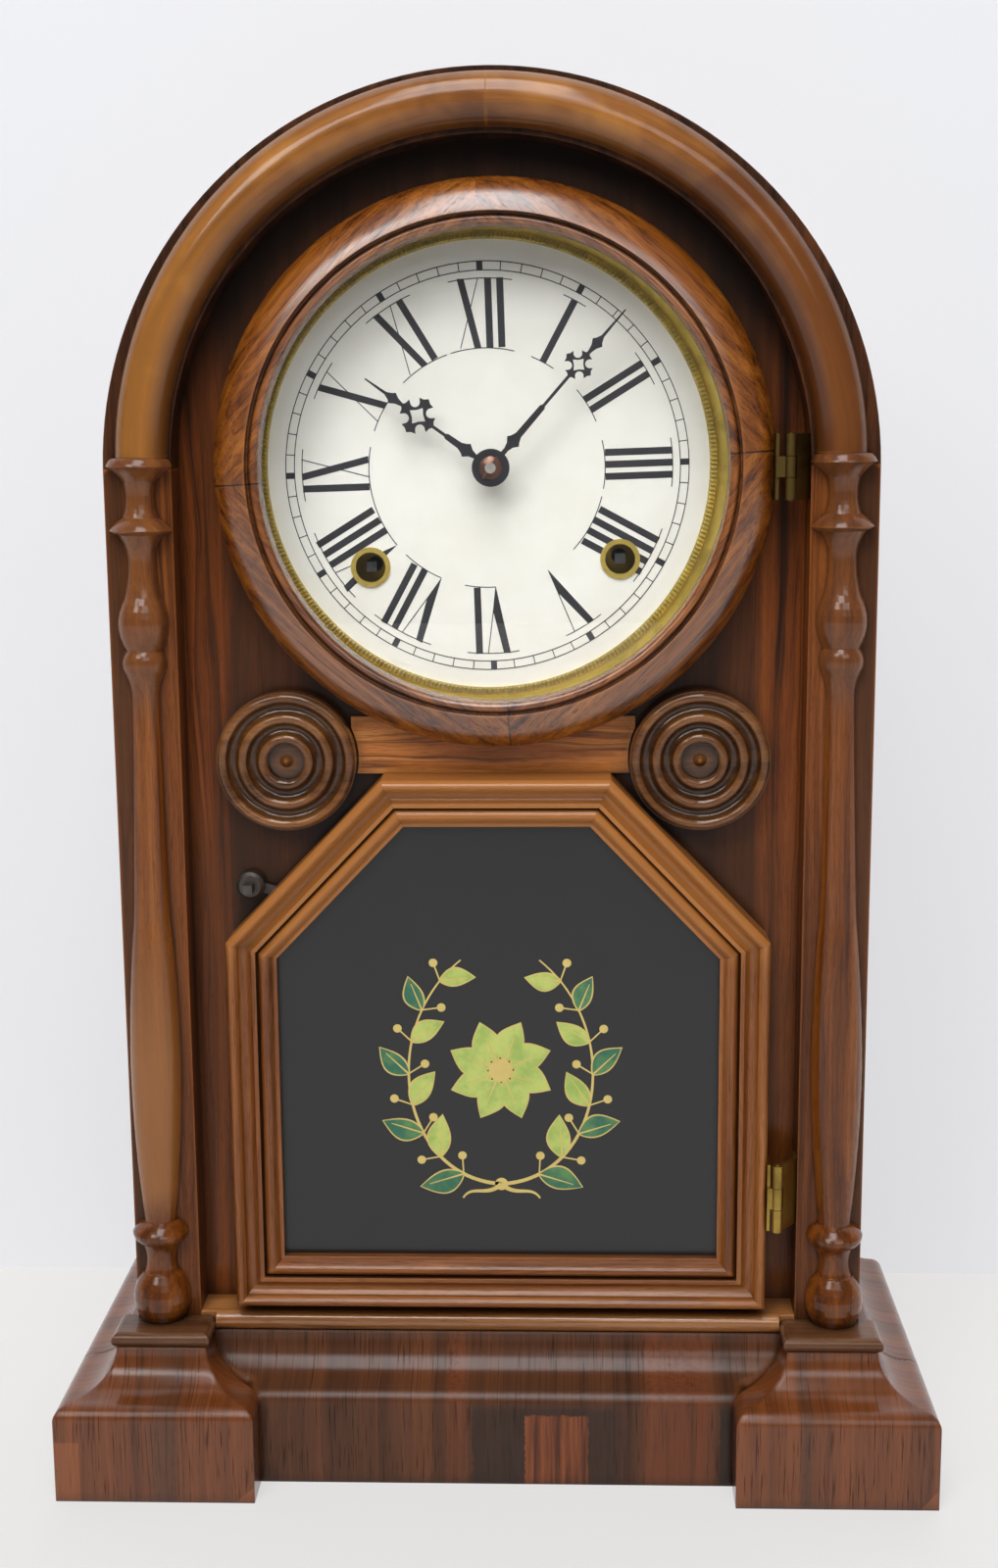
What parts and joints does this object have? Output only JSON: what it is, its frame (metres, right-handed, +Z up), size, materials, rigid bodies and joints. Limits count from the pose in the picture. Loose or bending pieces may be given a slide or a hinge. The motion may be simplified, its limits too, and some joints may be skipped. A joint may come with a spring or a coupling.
{
  "type": "shelf clock",
  "caption": "Round-top wooden shelf clock with half columns, a glazed round dial door, a painted-glass lower door, and a spring-driven striking movement with a pendulum.",
  "frame": {"origin": "on the floor under the middle of the base's bounding box", "axes": "+Z up, +X to the right seen from the front, +Y from the front to the back"},
  "size_m": [0.2902, 0.1244, 0.457],
  "materials": {
    "rosewood": "satin",
    "dark_rosewood": "satin",
    "walnut": "satin",
    "honey_wood": "satin",
    "pine": "matte",
    "brass": "polished",
    "copper": "satin",
    "steel": "brushed",
    "iron": "matte",
    "dial_paint": "satin",
    "clear_glass": "clear",
    "black_glass": "gloss",
    "putty": "matte",
    "black_paint": "satin"
  },
  "bodies": {
    "case": {"base_front": "rosewood", "left_foot": "rosewood", "right_foot": "rosewood", "base_sides": "rosewood", "left_stile": "rosewood", "right_stile": "rosewood", "arch_board": "rosewood", "left_case_side": "rosewood", "right_case_side": "rosewood", "case_top": "rosewood", "centre_rail": "rosewood", "front_panel": "dark_rosewood", "foot_caps": "walnut", "base_rail": "walnut", "left_column": "walnut", "right_column": "walnut", "rosettes": "walnut", "left_arch_bead": "honey_wood", "right_arch_bead": "honey_wood", "base_floor": "pine", "back_board": "pine", "dial_brass": "brass", "dial_hinge_case_leaf": "brass", "tablet_hinge_case_leaf": "brass", "front_plate": "brass", "back_plate": "brass", "movement_posts": "steel", "time_mainspring": "steel", "strike_mainspring": "steel", "gong": "steel", "gong_base": "iron", "dial": "dial_paint"},
    "dial_door": {"dial_door_ring": "rosewood", "dial_glass": "clear_glass", "dial_hinge_door_leaf": "brass"},
    "tablet_door": {"tablet_door_frame": "honey_wood", "tablet_glass": "black_glass", "tablet_putty": "putty", "tablet_hinge_door_leaf": "brass"},
    "catch": {"door_catch": "iron"},
    "centre": {"centre_wheel": "brass", "minute_hand": "black_paint", "hand_washer": "copper"},
    "hour": {"hour_wheel": "brass", "hour_hand": "black_paint"},
    "motion": {"minute_wheel": "brass"},
    "second": {"second_wheel": "brass"},
    "time_great": {"time_great_wheel": "brass"},
    "third": {"third_wheel": "brass"},
    "escape": {"escape_wheel": "brass"},
    "time_winding": {"time_winding_arbor": "steel"},
    "strike_winding": {"strike_winding_arbor": "steel"},
    "pendulum": {"pendulum_rod": "steel", "pendulum_bob": "brass"},
    "verge": {"verge": "steel"},
    "strike_pin": {"strike_pin_wheel": "brass"},
    "strike_great": {"strike_great_wheel": "brass"},
    "strike_third": {"strike_third_wheel": "brass"},
    "fly": {"strike_fly": "brass"},
    "hammer": {"strike_hammer": "steel"}
  },
  "joints": [
    {"name": "dial_door_hinge", "type": "hinge", "parent": "case", "child": "dial_door", "pos_m": [0.0936, -0.03585, 0.336], "axis": [0, 0, 1], "range_deg": [0, 90]},
    {"name": "tablet_door_hinge", "type": "hinge", "parent": "case", "child": "tablet_door", "pos_m": [0.0936, -0.03585, 0.0965], "axis": [0, 0, 1], "range_deg": [0, 90]},
    {"name": "catch_turn", "type": "hinge", "parent": "case", "child": "catch", "pos_m": [-0.081, -0.01885, 0.1993], "axis": [0, 1, 0], "range_deg": [-75, 45]},
    {"name": "minute_turn", "type": "hinge", "parent": "case", "child": "centre", "pos_m": [0, 0.00795, 0.336], "axis": [0, 1, 0], "continuous": true},
    {"name": "hour_turn", "type": "hinge", "parent": "case", "child": "hour", "pos_m": [0, 0.00795, 0.336], "axis": [0, 1, 0], "continuous": true},
    {"name": "motion_turn", "type": "hinge", "parent": "case", "child": "motion", "pos_m": [-0.012, 0.00795, 0.336], "axis": [0, 1, 0], "continuous": true},
    {"name": "second_turn", "type": "hinge", "parent": "case", "child": "second", "pos_m": [0.01756, 0.00795, 0.32343], "axis": [0, 1, 0], "continuous": true},
    {"name": "time_great_turn", "type": "hinge", "parent": "case", "child": "time_great", "pos_m": [0.04171, 0.00795, 0.30614], "axis": [0, 1, 0], "continuous": true},
    {"name": "third_turn", "type": "hinge", "parent": "case", "child": "third", "pos_m": [0.00924, 0.00795, 0.352], "axis": [0, 1, 0], "continuous": true},
    {"name": "escape_turn", "type": "hinge", "parent": "case", "child": "escape", "pos_m": [0, 0.00795, 0.36411], "axis": [0, 1, 0], "continuous": true},
    {"name": "time_winding_turn", "type": "hinge", "parent": "case", "child": "time_winding", "pos_m": [0.04171, 0.00795, 0.30614], "axis": [0, 1, 0], "continuous": true},
    {"name": "strike_winding_turn", "type": "hinge", "parent": "case", "child": "strike_winding", "pos_m": [-0.03998, 0.00795, 0.30385], "axis": [0, 1, 0], "continuous": true},
    {"name": "pendulum_swing", "type": "hinge", "parent": "case", "child": "pendulum", "pos_m": [0, 0.04795, 0.382], "axis": [0, 1, 0], "range_deg": [-4, 4]},
    {"name": "verge_rock", "type": "hinge", "parent": "case", "child": "verge", "pos_m": [0, 0.03545, 0.382], "axis": [0, 1, 0], "range_deg": [-4, 4]},
    {"name": "strike_pin_turn", "type": "hinge", "parent": "case", "child": "strike_pin", "pos_m": [-0.02513, 0.00795, 0.32958], "axis": [0, 1, 0], "continuous": true},
    {"name": "strike_great_turn", "type": "hinge", "parent": "case", "child": "strike_great", "pos_m": [-0.03998, 0.00795, 0.30385], "axis": [0, 1, 0], "continuous": true},
    {"name": "strike_third_turn", "type": "hinge", "parent": "case", "child": "strike_third", "pos_m": [-0.02805, 0.00795, 0.34616], "axis": [0, 1, 0], "continuous": true},
    {"name": "fly_turn", "type": "hinge", "parent": "case", "child": "fly", "pos_m": [-0.02364, 0.00795, 0.35829], "axis": [0, 1, 0], "continuous": true},
    {"name": "hammer_lift", "type": "hinge", "parent": "case", "child": "hammer", "pos_m": [-0.014, 0.00795, 0.284], "axis": [0, 1, 0], "range_deg": [0, 8]}
  ],
  "couplings": [
    {"joint": "hour_turn", "follows": "minute_turn", "ratio": 0.083333},
    {"joint": "motion_turn", "follows": "minute_turn", "ratio": -0.33333},
    {"joint": "second_turn", "follows": "minute_turn", "ratio": -0.5},
    {"joint": "time_great_turn", "follows": "minute_turn", "ratio": 0.071429},
    {"joint": "third_turn", "follows": "minute_turn", "ratio": -10},
    {"joint": "escape_turn", "follows": "minute_turn", "ratio": 95},
    {"joint": "verge_rock", "follows": "pendulum_swing", "ratio": 1},
    {"joint": "strike_great_turn", "follows": "strike_pin_turn", "ratio": -0.14286},
    {"joint": "strike_third_turn", "follows": "strike_pin_turn", "ratio": -9},
    {"joint": "fly_turn", "follows": "strike_pin_turn", "ratio": 72}
  ]
}
